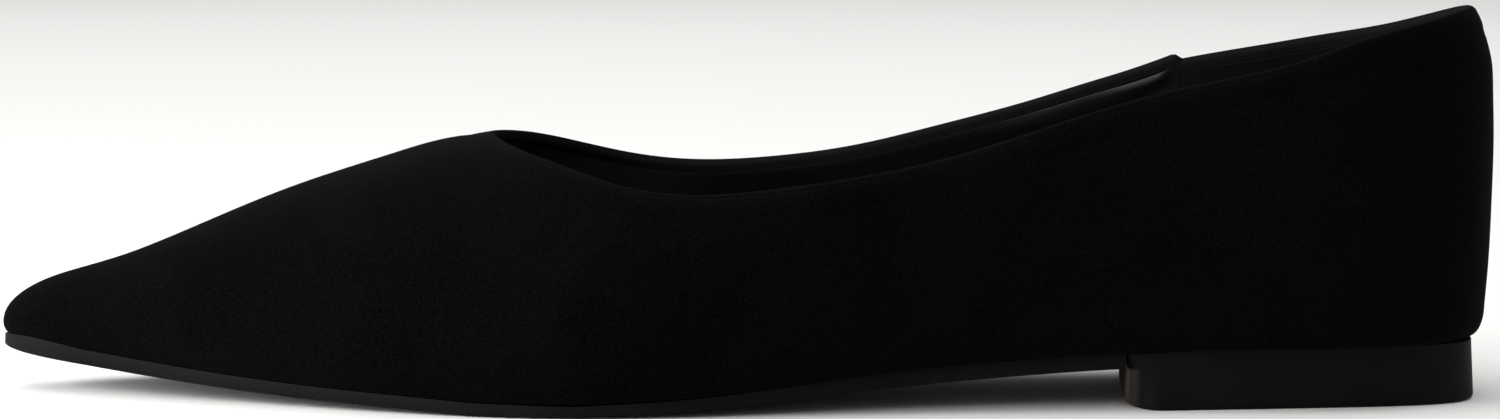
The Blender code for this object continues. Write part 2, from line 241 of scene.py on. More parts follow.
def last_normal(x, angle, side, reach):
    """Outward normal: cross product of the differences along the shoe and up the section."""
    small = 1e-3
    along = np.where(np.abs(angle) > HALF_PI - 1e-6, -side, 0.0)
    round_heel = np.where(along == 0, -1.0, 0.0)
    ahead = last_point(np.maximum(x + small * along, 0.0), angle + small * round_heel, side, reach)
    behind = last_point(np.maximum(x - small * along, 0.0), angle - small * round_heel, side, reach)
    higher = last_point(x, angle, side, np.minimum(reach + small, HALF_PI))
    lower = last_point(x, angle, side, reach - small)
    return unit(np.cross(ahead - behind, higher - lower))


def rim_height(x, angle, side, lowered):
    """Height of the topline, lowered along the wall; at the throat, where the wall lies flat, by less. On
    the inner side it rises as a parabola to the corner of the lining. Round the heel the height and the
    place where it is read depend on each other, and settle in a few rounds."""
    at = x
    for _ in range(6):
        height = np.where(side < 0, top_lateral(at), top_medial(at))
        at = x + (back_line(height) - HEEL_CENTRE) * np.cos(angle)
    rise = np.clip((at - CORNER_END) / CORNER_RUN + 1, 0.0, 1.0) ** 2
    corner = rise * (1 - ease(at, CORNER_END, CORNER_END + CORNER_FALL))
    height = height + np.where(side > 0, CORNER_RISE * corner, 0.0)
    return height - lowered * (THROAT_SHARE + (1 - THROAT_SHARE) * ease(at, THROAT_FLAT, THROAT_UP))


def rim_reach(x, angle, side, lowered):
    """Angle at which a section meets the lowered topline, 90 degrees where the vamp is closed."""
    wide = feather(x) + widest(x)
    share = (rim_height(x, angle, side, lowered) - wide) / (crown(x) - wide + 1e-9)
    return np.arcsin(np.clip(share, 0.0, 1.0) ** (full(x) / 2))


def throat_x(lowered):
    """Where the ridge of the vamp meets the lowered topline."""
    vamp = np.linspace(60.0, 90.0, 3001)
    return np.interp(0.0, crown(vamp) - rim_height(vamp, HALF_PI, -1, lowered), vamp)


def open_columns(lowered):
    """x, angle and side of upright columns round the opening, from the throat along the outer side, round
    the heel and back; they are crowded at the throat and at the corner of the lining."""
    start = throat_x(lowered)
    straight = np.concatenate([
        start + (OPEN_END - start) * np.linspace(0.0, 1.0, 40) ** 2,
        np.linspace(OPEN_END, CORNER_END - CORNER_NEAR, 70)[1:],
        np.linspace(CORNER_END - CORNER_NEAR, CORNER_END + CORNER_NEAR, 20)[1:],
        np.linspace(CORNER_END + CORNER_NEAR, HEEL_CENTRE, 12)[1:],
    ])
    fan = np.linspace(HALF_PI, -HALF_PI, 97)[1:-1]
    x = np.concatenate([straight, np.full(len(fan), HEEL_CENTRE), straight[::-1]])
    angle = np.concatenate([np.full(len(straight), HALF_PI), fan, np.full(len(straight), -HALF_PI)])
    return x, angle, np.where(angle > 0, -1, 1)


def all_columns(lowered, front):
    """The open columns with those of the closed vamp before and after them, from front back to the throat,
    crowded at the tip of the toe."""
    x, angle, side = open_columns(lowered)
    vamp = front + (x[0] - front) * np.linspace(0.0, 1.0, 80)[:-1] ** 1.6
    ends = np.ones(len(vamp))
    return (
        np.concatenate([vamp, x, vamp[::-1]]),
        np.concatenate([HALF_PI * ends, angle, -HALF_PI * ends]),
        np.concatenate([-ends, side, ends]),
    )


def grid_faces(columns, rows, first=0, closed=False):
    """Quads between neighbours of a grid that is numbered column by column."""
    column = np.arange(columns - 1)[:, None] * rows
    row = np.arange(rows if closed else rows - 1)
    here, above = column + row, column + (row + 1) % rows
    return first + np.stack([here, here + rows, above + rows, above], -1).reshape(-1, 4)


MIDDLE = np.array([BACK["x"].max() / 2, 0.015, 0.0])    # of the shoe's box, on the floor
WELD = 2e-6                                             # metres within which points become one


def place(points):
    """From millimetres on the last to metres in the shoe's frame."""
    return (points - MIDDLE) * MM


def make_piece(name, points, faces, sharp=None, **marks):
    """A welded mesh object from points in millimetres and quads, smooth but for edges past the angle sharp;
    marks are values by point that its material reads."""
    mesh = bpy.data.meshes.new(name)
    mesh.vertices.add(len(points))
    mesh.vertices.foreach_set("co", place(points).astype(np.float32).ravel())
    mesh.loops.add(faces.size)
    mesh.loops.foreach_set("vertex_index", faces.astype(np.int32).ravel())
    mesh.polygons.add(len(faces))
    mesh.polygons.foreach_set("loop_start", np.arange(0, faces.size, 4, dtype=np.int32))
    mesh.update(calc_edges=True)
    for mark, values in marks.items():
        layer = mesh.attributes.new(mark, "FLOAT", "POINT")
        layer.data.foreach_set("value", values.astype(np.float32).ravel())
    welded = bmesh.new()
    welded.from_mesh(mesh)
    bmesh.ops.remove_doubles(welded, verts=welded.verts[:], dist=WELD)
    bmesh.ops.dissolve_degenerate(welded, edges=welded.edges[:], dist=1e-7)
    welded.to_mesh(mesh)
    welded.free()
    mesh.polygons.foreach_set("use_smooth", np.ones(len(mesh.polygons), bool))
    if sharp:
        mesh.set_sharp_from_angle(angle=math.radians(sharp))
    piece = bpy.data.objects.new(name, mesh)
    bpy.context.scene.collection.objects.link(piece)
    return piece


def distance_to(points, path):
    """Distance of each point to a closed path: to the two straight pieces that meet at the corner which is
    nearest to it."""
    gaps = (points**2).sum(-1)[:, None] + (path**2).sum(-1)[None, :] - 2 * points @ path.T
    nearest = gaps.argmin(1)
    found = []
    for step in (-1, 1):
        start = path[nearest]
        piece = path[(nearest + step) % len(path)] - start
        share = ((points - start) * piece).sum(-1) / np.maximum((piece**2).sum(-1), 1e-12)
        found.append(np.linalg.norm(start + np.clip(share, 0.0, 1.0)[:, None] * piece - points, axis=-1))
    return np.minimum(*found)


def rim_path(lowered, inward=0.0):
    """The lowered topline as a closed path, moved in from the last's surface, and the normals there."""
    x, angle, side = open_columns(lowered)
    reach = rim_reach(x, angle, side, lowered)
    normal = last_normal(x, angle, side, reach)
    normal[0] = normal[-1] = unit(normal[0] + normal[-1])
    return last_point(x, angle, side, reach) - inward * normal, normal


# Soft troughs that the sheet keeps from lasting: middle, half length along x, half breadth up, depth, which
# is below 0 for a swell, and side, -1 outer and 1 inner
TROUGHS = table(
    "x z long broad depth side",
    (100.0, 24.0, 16.0, 7.0, 0.35, -1),
    (98.0, 25.0, 16.0, 7.0, 0.35, 1),
    (150.0, 24.0, 30.0, 7.0, 0.4, -1),
    (146.0, 24.0, 30.0, 7.0, 0.5, 1),
    (212.0, 38.0, 18.0, 9.0, 0.3, -1),
    (212.0, 38.0, 18.0, 9.0, 0.3, 1),
    (60.0, 26.0, 14.0, 6.0, -0.25, -1),
    (60.0, 27.0, 14.0, 6.0, -0.25, 1),
)
TROUGH_END = 0.9        # angle up the section from which the troughs fade
TROUGH_NONE = 1.4       # and at which they are gone, before the ridge
HEM_SOFT = 0.8          # half breadth of the line that the hem presses
SEAM_WIDE = 0.55        # half breadth of the groove of the back seam
SEAM_DEEP = 0.35        # its depth
SEAM_RIDGE = 0.35       # height of the ridge on each side of it, as a share of its depth
RIDGE_AT = 2.6          # the ridge's middle, in half breadths of the groove
RIDGE_WIDE = 1.2        # and its own half breadth
SEAM_START = 244.0      # x from which the seam comes in on the round of the heel
SEAM_FULL = 252.0       # and where it has its full depth
RELIEF_NONE = -0.6      # angle on the turn under the foot up to which the suede follows the last
RELIEF_FULL = 0.1       # and from which it has its full relief
PALE_FROM = 4           # rows of the fold between which the suede turns to the paler tone painted on the inside of the fold as painted light
PALE_FULL = 10


def suede_relief(points, side, reach, rim_gap):
    """How far the suede stands out from the last: the soft line at the end of the hem, the troughs as
    rounded bells, and the groove of the back seam between two low ridges."""
    relief = -HEM_GROOVE * np.exp(-(((rim_gap - HEM) / HEM_SOFT) ** 2))
    for x, z, long, broad, depth, at_side in zip(*TROUGHS.values()):
        bell = np.exp(-(((points[..., 0] - x) / long) ** 2) - ((points[..., 2] - z) / broad) ** 2)
        relief = relief - depth * bell * (side == at_side) * (1 - ease(reach, TROUGH_END, TROUGH_NONE))
    aside = points[..., 1] / SEAM_WIDE
    ridges = SEAM_RIDGE * np.exp(-(((np.abs(aside) - RIDGE_AT) / RIDGE_WIDE) ** 2))
    seam = SEAM_DEEP * (ridges - np.exp(-(aside**2)))
    return relief + seam * ease(points[..., 0], SEAM_START, SEAM_FULL)


x, angle, side = (values[:, None] for values in all_columns(FOLD_DROP, 0.0))
turn_rows = np.concatenate([
    np.linspace(-HALF_PI - 1, -HALF_PI, 4)[:-1],
    np.linspace(-HALF_PI, 0.0, 11)[:-1],
])
wall_rows = rim_reach(x, angle, side, FOLD_DROP) * np.linspace(0.0, 1.0, 44)
reach = np.concatenate([np.broadcast_to(turn_rows, (len(x), len(turn_rows))), wall_rows], 1)
wall = last_point(x, angle, side, reach)
wall_normal = last_normal(x, angle, side, reach)
rim, rim_normal = rim_path(FOLD_DROP)
rim_gap = distance_to(wall.reshape(-1, 3), rim[:-1]).reshape(reach.shape)
relief = suede_relief(wall, side, reach, rim_gap) * ease(reach, RELIEF_NONE, RELIEF_FULL)
wall = wall + wall_normal * relief[..., None]

# The fold: a half circle from the top of the wall over to the inside, then down the inside of the wall
along_rim = np.roll(rim[:-1], -1, 0) - np.roll(rim[:-1], 1, 0)
along_rim = unit(np.concatenate([along_rim, along_rim[:1]]))
rim_up = unit(np.cross(rim_normal, along_rim))
roll = np.linspace(0.0, math.pi, 13)[None, :, None]
fold = rim[:, None] + FOLD * (
    (np.cos(roll) - 1) * rim_normal[:, None] + np.sin(roll) * rim_up[:, None]
)
lip_rows = np.append(np.linspace(0.0, FOLD_DEPTH - CRISP, 7)[1:], FOLD_DEPTH)
lip = [rim_path(FOLD_DROP + depth, 2 * FOLD)[0] for depth in lip_rows]
fold = np.concatenate([fold, np.stack(lip, 1)], 1)
upper_points = np.concatenate([wall.reshape(-1, 3), fold.reshape(-1, 3)])
upper_faces = np.concatenate([
    grid_faces(*wall.shape[:2]),
    grid_faces(*fold.shape[:2], first=wall.shape[0] * wall.shape[1]),
])
# Painted light: a paler tone along the outer top edge and on the inside of the fold, where light catches the
# roll
painted_rim_light = RIM_LIGHT * np.exp(-((rim_gap / RIM_LIGHT_WIDE) ** 2))
inside = RIM_LIGHT + (1 - RIM_LIGHT) * ease(np.arange(fold.shape[1]), PALE_FROM, PALE_FULL)
inside = np.concatenate([painted_rim_light.ravel(), np.broadcast_to(inside, fold.shape[:2]).ravel()])
upper = make_piece("suede_upper", upper_points, upper_faces, inside=inside)
sheet = upper.modifiers.new("sheet", "SOLIDIFY")
sheet.thickness = SUEDE * MM
sheet.offset = -1.0


def linear(code, alpha=1.0):
    """A hex sRGB colour as linear red, green, blue and alpha."""
    srgb = np.array([int(code[i : i + 2], 16) for i in (1, 3, 5)]) / 255
    values = np.where(srgb <= 0.04045, srgb / 12.92, ((srgb + 0.055) / 1.055) ** 2.4)
    return (*values.tolist(), alpha)


def add_node(made, kind, inputs=None, **settings):
    """A node with its settings; each input is a value, or the socket that feeds it."""
    node = made.node_tree.nodes.new(kind)
    for name, value in settings.items():
        setattr(node, name, value)
    for name, value in (inputs or {}).items():
        if isinstance(value, bpy.types.NodeSocket):
            made.node_tree.links.new(value, node.inputs[name])
        else:
            node.inputs[name].default_value = value
    return node


def new_material(name, **sockets):
    """A material with its Principled shader, whose sockets are set, and Object coordinates."""
    made = bpy.data.materials.new(name)
    made.use_nodes = True
    shader = made.node_tree.nodes["Principled BSDF"]
    for socket, value in sockets.items():
        shader.inputs[socket.replace("_", " ")].default_value = value
    where = add_node(made, "ShaderNodeTexCoord").outputs["Object"]
    return made, shader, where


def feed(made, shader, **sockets):
    """Link other nodes' sockets into the shader."""
    for socket, source in sockets.items():
        made.node_tree.links.new(source, shader.inputs[socket.replace("_", " ")])


def per_metre(size_mm):
    """Scale of a pattern whose repeat measures size_mm."""
    return 1 / (size_mm * MM)


# Brushed nap: very matt, with a pale bloom at grazing angles, fine fibres, and patches a finger has stroked
# one way or the other. The fibres, really 0.1 mm, are drawn at 0.4 mm so that they show.
suede, shader, where = new_material(
    "brushed black micro-suede",
    Roughness=0.92,
    Specular_IOR_Level=0.015,
    Sheen_Weight=0.012,
    Sheen_Roughness=0.45,
    Sheen_Tint=linear("#b6b6b6"),
)
fibres = add_node(
    suede,
    "ShaderNodeTexNoise",
    {"Vector": where, "Scale": per_metre(0.4), "Detail": 3.0, "Roughness": 0.65},
)
strokes = add_node(
    suede,
    "ShaderNodeTexNoise",
    {"Vector": where, "Scale": per_metre(22.0), "Detail": 2.5, "Distortion": 0.6},
)
nap = add_node(
    suede,
    "ShaderNodeMix",
    {"Factor": 0.75, "A": strokes.outputs["Fac"], "B": fibres.outputs["Fac"]},
)
shades = add_node(suede, "ShaderNodeValToRGB", {"Fac": nap.outputs["Result"]})
shades.color_ramp.elements[0].position = 0.36
shades.color_ramp.elements[0].color = linear("#010101")
shades.color_ramp.elements[1].position = 0.64
shades.color_ramp.elements[1].color = linear("#080808")
bumps = add_node(
    suede, "ShaderNodeBump", {"Height": fibres.outputs["Fac"], "Strength": 0.5, "Distance": 0.15 * MM}
)
# Painted light: the folded edge and the top edge outside are mixed towards a paler grey
fold_light = add_node(suede, "ShaderNodeAttribute", attribute_name="inside")
colour = add_node(
    suede,
    "ShaderNodeMix",
    {"Factor": fold_light.outputs["Fac"], "A": shades.outputs["Color"], "B": linear("#191919")},
    data_type="RGBA",
)
feed(suede, shader, Base_Color=colour.outputs["Result"], Normal=bumps.outputs["Normal"])
upper.data.materials.append(suede)
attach(upper, "root")
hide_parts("upper")

# Lining
# Smooth black PU-coated fabric, cemented to the inside of the suede from under the folded edge down to the
# insole. It is glossy and bulges softly just under the fold; under the vamp it is painted grey as painted
# light in the dark throat, and lower down it is painted darker as painted shade.
LINING = 0.8            # thickness
LINING_FACE = 1.8       # depth of its face inside the last's surface
LINING_FRONT = 16.0     # x of its front end, under the toe
LINING_GAP = 0.15       # how far below the folded edge it starts
GRIP_FRONT = 207.2      # x where the heel grip starts to cover it
LINING_LOW = -0.75      # angle of its lower edge on the turn under the foot
SWELL_AT = 1.1          # middle of the soft bulge, below the lining's top edge
SWELL_WIDE = 1.0        # its half breadth
SWELL_END = 203.5       # x from which it sinks towards the grip
THROAT_LIGHT_TO = 95.0        # x as far as which the lining is painted grey, as painted light in the throat
THROAT_LIGHT_FADE = 35.0      # and the length over which that fades
SHADE_START_FRONT = -0.4   # distance below its top edge at which the painted shade starts to come in, at the throat
SHADE_START_HEEL = 1.9     # and near the heel grip
SHADE_START_FADE = 1.6     # breadth over which the painted shade comes in
SHADE_DROP_FROM = 165.0     # x between which the unshaded band under the fold widens
SHADE_DROP_TO = 190.0
SHADE_END_FROM = 198.0         # x from which the painted shade below that band fades
SHADE_END = 206.0       # and where it is gone
# How the bulge grows towards the heel grip: by which height, and between which x
SWELL = table("height start end", (0.36, 172.0, 188.0), (0.63, 192.0, 202.0))


def lining_swell(x, below):
    """Soft roll under the fold, next to the heel grip: a bell over the distance below the top edge, as high
    as the smooth steps passed so far."""
    high = sum(height * ease(x, start, end) for height, start, end in zip(*SWELL.values()))
    high = high * (1 - ease(x, SWELL_END, GRIP_FRONT))
    return high * np.exp(-(((below - SWELL_AT) / SWELL_WIDE) ** 2))


lining_top = FOLD_DROP + FOLD_DEPTH + LINING_GAP
x, angle, side = (values[:, None] for values in all_columns(lining_top, LINING_FRONT))
lining_rim = np.stack([rim_reach(x, angle, side, lining_top + low)[:, 0] for low in (CRISP, 0.0)], 1)
reach = LINING_LOW + (lining_rim[:, :1] - LINING_LOW) * np.linspace(0.0, 1.0, 60) ** 0.7
reach = np.concatenate([reach, lining_rim[:, 1:]], 1)
lining_normal = last_normal(x, angle, side, reach)
face = last_point(x, angle, side, reach)
rows_apart = np.linalg.norm(np.diff(face, axis=1), axis=-1)
below_fold = np.pad(rows_apart[:, ::-1].cumsum(1)[:, ::-1], ((0, 0), (0, 1)))
face = face - lining_normal * (LINING_FACE + lining_swell(face[..., 0], below_fold))[..., None]
# Painted light: grey under the vamp, to lighten the shaded throat
rubbed = 1 - ease(face[..., 0], THROAT_LIGHT_TO, THROAT_LIGHT_TO + THROAT_LIGHT_FADE)
widening = ease(face[..., 0], SHADE_DROP_FROM, SHADE_DROP_TO)
shade_start = SHADE_START_FRONT + (SHADE_START_HEEL - SHADE_START_FRONT) * widening
# Painted shade: darker and less glossy below the band under the fold, where the near wall shades it
dull = (1 - rubbed) * (1 - ease(face[..., 0], SHADE_END_FROM, SHADE_END))
dull = dull * ease(below_fold - shade_start, 0.0, SHADE_START_FADE)
lining = make_piece(
    "pu_lining", face.reshape(-1, 3), grid_faces(*face.shape[:2])[:, ::-1], rubbed=rubbed, dull=dull
)
backing = lining.modifiers.new("fabric", "SOLIDIFY")
backing.thickness = LINING * MM
backing.offset = -1.0

# Polyurethane skin with a faint pressed grain: glossy under the fold; below that painted darker and less
# glossy as painted shade, and painted grey under the vamp as painted light
pu, shader, where = new_material("black PU lining", Roughness=0.35)
throat_light = add_node(pu, "ShaderNodeAttribute", attribute_name="rubbed")
shade_below = add_node(pu, "ShaderNodeAttribute", attribute_name="dull")
# Painted shade: specular and colour drop below the band
gloss = add_node(pu, "ShaderNodeMix", {"Factor": shade_below.outputs["Fac"], "A": 0.75, "B": 0.16})
black = add_node(
    pu,
    "ShaderNodeMix",
    {"Factor": shade_below.outputs["Fac"], "A": linear("#121212"), "B": linear("#0b0b0b")},
    data_type="RGBA",
)
colour = add_node(
    pu,
    "ShaderNodeMix",
    {"Factor": throat_light.outputs["Fac"], "A": black.outputs["Result"], "B": linear("#2a2a2a")},
    data_type="RGBA",
)
grain = add_node(
    pu, "ShaderNodeTexVoronoi", {"Vector": where, "Scale": per_metre(0.9)}, feature="SMOOTH_F1"
)
bumps = add_node(
    pu, "ShaderNodeBump", {"Height": grain.outputs["Distance"], "Strength": 0.12, "Distance": 0.08 * MM}
)
feed(
    pu,
    shader,
    Base_Color=colour.outputs["Result"],
    Specular_IOR_Level=gloss.outputs["Result"],
    Normal=bumps.outputs["Normal"],
)
lining.data.materials.append(pu)
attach(lining, "root")

# Heel grip
# A patch of matt micro-suede, cemented over the lining round the inside of the heel so that the foot does
# not slip. It reaches from the folded edge down to the insole.
GRIP = 0.5              # thickness
GRIP_SKIVE = 5.0        # length over which its front edge is pared down
GRIP_LIFT = 0.02        # how far that edge still stands off the lining
x, angle, side = (values[:, None] for values in open_columns(lining_top))
keep = (x >= GRIP_FRONT)[:, 0]
x, angle, side = x[keep], angle[keep], side[keep]
grip_rim = np.stack([rim_reach(x, angle, side, lining_top + low)[:, 0] for low in (CRISP, 0.0)], 1)
reach = LINING_LOW + (grip_rim[:, :1] - LINING_LOW) * np.linspace(0.0, 1.0, 40)
reach = np.concatenate([reach, grip_rim[:, 1:]], 1)
face = last_point(x, angle, side, reach)
grip_depth = LINING_FACE + GRIP_LIFT + GRIP * ease(face[..., :1], GRIP_FRONT, GRIP_FRONT + GRIP_SKIVE)
face = face - last_normal(x, angle, side, reach) * grip_depth
grip = make_piece("heel_grip", face.reshape(-1, 3), grid_faces(*face.shape[:2])[:, ::-1])
patch = grip.modifiers.new("patch", "SOLIDIFY")
patch.thickness = GRIP * MM
patch.offset = -1.0

# Short dense nap without any shine, a little paler than the suede outside. Its fibres, really 0.1 mm, are
# drawn at 0.6 mm so that they show.
grip_suede, shader, where = new_material(
    "matt black grip suede", Roughness=0.95, Specular_IOR_Level=0.05, Base_Color=linear("#111111")
)
fuzz = add_node(grip_suede, "ShaderNodeTexNoise", {"Vector": where, "Scale": per_metre(0.6), "Detail": 3.0})
bumps = add_node(
    grip_suede, "ShaderNodeBump", {"Height": fuzz.outputs["Fac"], "Strength": 0.5, "Distance": 0.15 * MM}
)
feed(grip_suede, shader, Normal=bumps.outputs["Normal"])
grip.data.materials.append(grip_suede)
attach(grip, "root")

# Insole
# The insole board with its sock, a smooth black PU sheet over thin foam, pressed in on top of the lasting
# margin; the sock turns up a little where it meets the lining.
BOARD_FRONT = 13.0      # x of its front end
BOARD_CROWDED = 30.0    # x as far as which its sections are crowded
TOE_ROUND = 16.0        # length over which an inset outline slides back at the toe
HEEL_FULL = 2.2         # power of the superellipse that rounds the insole at the heel
# Its edge from below, over the lasting margin, up round the padded rim of the sock and in to its flat: how
# far in from the plan of the shoe at the sides and at the ends, and how high above the feather edge
BOARD = table(
    "side end rise",
    (4.4, 5.6, 2.1),
    (3.5, 4.7, 2.7),
    (2.9, 4.1, 3.8),
    (2.75, 3.9, 4.65),
    (3.1, 4.3, 4.8),
    (4.2, 5.4, 4.45),
    (6.0, 7.2, 4.3),
)


def outline(x, inset_lateral, inset_medial, inset, full_back=HEEL_FULL):
    """The plan of the shoe, moved in at each side, and at the tip and the back by the last inset; behind
    the heel centre it is half a superellipse. Gives x, outer y and inner y."""
    toe = np.maximum(0.0, 1 - x / TOE_ROUND)
    behind = np.clip((x - HEEL_CENTRE) / BACK_REACH, 0.0, 1.0)
    share = (1 - behind**full_back) ** (1 / full_back)
    moved = x + inset * toe - np.maximum(0.0, x - HEEL_CENTRE) * inset / BACK_REACH
    outer = (lateral(x) - inset_lateral * (1 - toe)) * share
    inner = (medial(x) - inset_medial * (1 - toe)) * share
    return moved, -outer, inner


def stations(front, joins, counts):
    """Stations from a front, where they are crowded, through joins to the round back of the heel."""
    runs = [front + (joins[0] - front) * np.linspace(0.0, 1.0, counts[0]) ** 2]
    for start, end, count in zip(joins, joins[1:], counts[1:]):
        runs.append(np.linspace(start, end, count)[1:])
    return np.concatenate(runs)


def heel_stations(count):
    """Stations crowded towards the round back of the heel."""
    return HEEL_CENTRE + BACK_REACH * np.sin(np.linspace(0.0, HALF_PI, count))[1:]


def across(outer, inner, count):
    """Points from the outer to the inner edge of each station, edges left out."""
    share = np.linspace(0.0, 1.0, count + 2)[1:-1][None, :, None]
    return outer[:, None] * (1 - share) + inner[:, None] * share


def levels(x, rows, lean=np.zeros_like):
    """Edges of a stack of outlines. A row gives the insets at each side and at the ends, and a height as a
    function of x, side and y; lean moves points along x for each millimetre across. Result: outer and
    inner points, by level, station and axis."""
    outer, inner = [], []
    for inset_lateral, inset_medial, inset, height in rows:
        moved, outer_y, inner_y = outline(x, inset_lateral, inset_medial, inset)
        outer_x = moved + lean(moved) * outer_y
        inner_x = moved + lean(moved) * inner_y
        outer.append(np.stack([outer_x, outer_y, height(outer_x, -1, outer_y)], -1))
        inner.append(np.stack([inner_x, inner_y, height(inner_x, 1, inner_y)], -1))
    return outer, inner


def loops(outer, inner, bottom, top, cap_first=False, cap_last=False):
    """Closed profiles, one for each station: across the bottom, up the inner edge, over the top and down
    the outer edge. An end that does not run to an edge is closed by a cap drawn to its middle."""
    rings = np.concatenate([bottom, np.stack(inner, 1), top[:, ::-1], np.stack(outer[::-1], 1)], 1)
    caps = np.broadcast_to(rings.mean(1, keepdims=True), rings.shape)
    rings = np.concatenate([caps[:cap_first], rings, caps[len(caps) - cap_last :]])
    return rings.reshape(-1, 3), grid_faces(*rings.shape[:2], closed=True)[:, ::-1]


def board_height(rise):
    """Height of a level that follows the feather edge, as a function of x, side and y."""
    return lambda x, side, y: feather(x) + rise


board_x = np.concatenate([
    stations(BOARD_FRONT, (BOARD_CROWDED, HEEL_CENTRE), (24, 130)),
    heel_stations(40),
])
board_rows = [(side, side, end, board_height(rise)) for side, end, rise in zip(*BOARD.values())]
outer, inner = levels(board_x, board_rows)
insole = make_piece(
    "insole_sock",
    *loops(outer, inner, across(outer[0], inner[0], 6), across(outer[-1], inner[-1], 24), cap_first=True),
    sharp=60,
)

# Coated sock: satin, with a fine pressed leather grain
sock, shader, where = new_material("black PU sock", Roughness=0.5, Specular_IOR_Level=0.3)
cells = add_node(
    sock, "ShaderNodeTexVoronoi", {"Vector": where, "Scale": per_metre(1.1)}, feature="SMOOTH_F1"
)
cloud = add_node(sock, "ShaderNodeTexNoise", {"Vector": where, "Scale": per_metre(30.0), "Detail": 3.0})
shades = add_node(sock, "ShaderNodeValToRGB", {"Fac": cloud.outputs["Fac"]})
shades.color_ramp.elements[0].position = 0.3
shades.color_ramp.elements[0].color = linear("#0e0e0e")
shades.color_ramp.elements[1].position = 0.7
shades.color_ramp.elements[1].color = linear("#151515")
bumps = add_node(
    sock, "ShaderNodeBump", {"Height": cells.outputs["Distance"], "Strength": 0.3, "Distance": 0.12 * MM}
)
feed(sock, shader, Base_Color=shades.outputs["Color"], Normal=bumps.outputs["Normal"])
insole.data.materials.append(sock)
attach(insole, "root")
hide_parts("insole")

# Outsole
# Thin sole of black TPR rubber, moulded with toe spring and arch, its rim cupped round the turn of the
# upper, cemented on from the toe to the front of the heel.
GAP = 0.3               # cement line
BREAST = 195.9          # x of the heel's front face
BREAST_SLANT = 0.06     # how far it runs back for each millimetre to the inner side
SLANT_RUN = 28.0        # length over which that slant fades before and behind
SOLE_CROWDED = 18.0     # x as far as which the sole's sections are crowded
BALL_FRONT = 84.0       # x between which it lies flat on the floor
BALL_BACK = 102.0
SOLE_BEVEL = 2.4        # how far in the underside starts to turn up to the edge
SOLE_LIP = 0.7          # how high that turn rises
TIP_NOTCH = 0.25        # how far the rim may rise at the tip of the toe
CUP_START = 0.1         # how far in from the edge the cupped rim starts
CUP_PAST = 0.2          # how far it runs on past the turn of the upper
CUP_LEAST = 0.4         # its least breadth
# How far the sole's edge lies in from the widest line of the upper, on each side
EDGE = table(
    "x lateral medial",
    (0.0, 0.2, 0.2),
    (3.0, 0.7, 0.7),
    (9.0, 1.1, 1.1),
    (22.0, 1.3, 1.3),
    (60.0, 1.5, 1.5),
    (95.0, 1.7, 1.9),
    (125.0, 3.2, 4.0),
    (155.0, 4.8, 5.8),
    (197.0, 4.2, 4.6),
)
edge_lateral = spline(EDGE["x"], EDGE["lateral"])
edge_medial = spline(EDGE["x"], EDGE["medial"])


def slant(x):
    """How far a point runs back for each millimetre to the inner side, most at the heel's front."""
    return BREAST_SLANT * np.maximum(0.0, 1 - np.abs(x - BREAST) / SLANT_RUN)


def under_upper(x, side, y):
    """Underside of the upper less the cement line: flat, then rising along the ellipse of the turn. At the
    tip of the toe it stays level, so that the suede rolls off it with a small notch."""
    breadth = half_breadth(x, side)
    turned = np.maximum(np.minimum(turn(x), TURN_MOST * breadth), 1e-6)
    inset = breadth - side * (y - ridge(x))
    reach = np.clip((turned - inset) / turned, 0.0, 1.0)
    level = np.minimum(feather(x), tread(x) + sole_thick(x) + TIP_NOTCH)
    return level + widest(x) * (1 - np.sqrt(1 - reach**2)) - GAP


def rim_row(x, extra, height):
    """One level of the outsole, in from the edge of the sole by extra."""
    return edge_lateral(x) + extra, edge_medial(x) + extra, edge_lateral(x) + extra, height


sole_x = stations(0.0, (SOLE_CROWDED, BALL_FRONT, BALL_BACK, BREAST - GAP), (30, 50, 16, 70))
cup = np.maximum(CUP_LEAST, turn(sole_x) - edge_lateral(sole_x) + CUP_PAST)
sole_rows = [
    rim_row(
        sole_x,
        SOLE_BEVEL * (1 - math.sin(lean)),
        lambda x, side, y, lean=lean: tread(x) + SOLE_LIP * (1 - math.cos(lean)),
    )
    for lean in np.linspace(0.0, HALF_PI, 8)
]
sole_rows += [
    rim_row(sole_x, CUP_START + (cup - CUP_START) * share, under_upper)
    for share in np.linspace(0.0, 1.0, 6)
]
outer, inner = levels(sole_x, sole_rows, slant)
outsole = make_piece(
    "rubber_outsole",
    *loops(outer, inner, across(outer[0], inner[0], 30), across(outer[-1], inner[-1], 6), cap_last=True),
    sharp=45,
)

# Moulded rubber: satin black with the fine spark grain of the mould, drawn at 0.7 mm so that it shows, and a
# little greyer in worn spots. The heel carries a mark where its front face is bare, and there the rubber is
# brownish and quite matt, and painted paler than bare rubber as painted light on a face that lies in shade;
# on the lit corners that paleness is cut back as painted shade.
rubber, shader, where = new_material("satin black TPR rubber", Roughness=0.6)
spark = add_node(rubber, "ShaderNodeTexNoise", {"Vector": where, "Scale": per_metre(0.7), "Detail": 2.0})
wear = add_node(rubber, "ShaderNodeTexNoise", {"Vector": where, "Scale": per_metre(14.0), "Detail": 4.0})
shades = add_node(rubber, "ShaderNodeValToRGB", {"Fac": wear.outputs["Fac"]})
shades.color_ramp.elements[0].position = 0.35
shades.color_ramp.elements[0].color = linear("#090909")
shades.color_ramp.elements[1].position = 0.7
shades.color_ramp.elements[1].color = linear("#0f0f0f")
bumps = add_node(
    rubber, "ShaderNodeBump", {"Height": spark.outputs["Fac"], "Strength": 0.25, "Distance": 0.1 * MM}
)
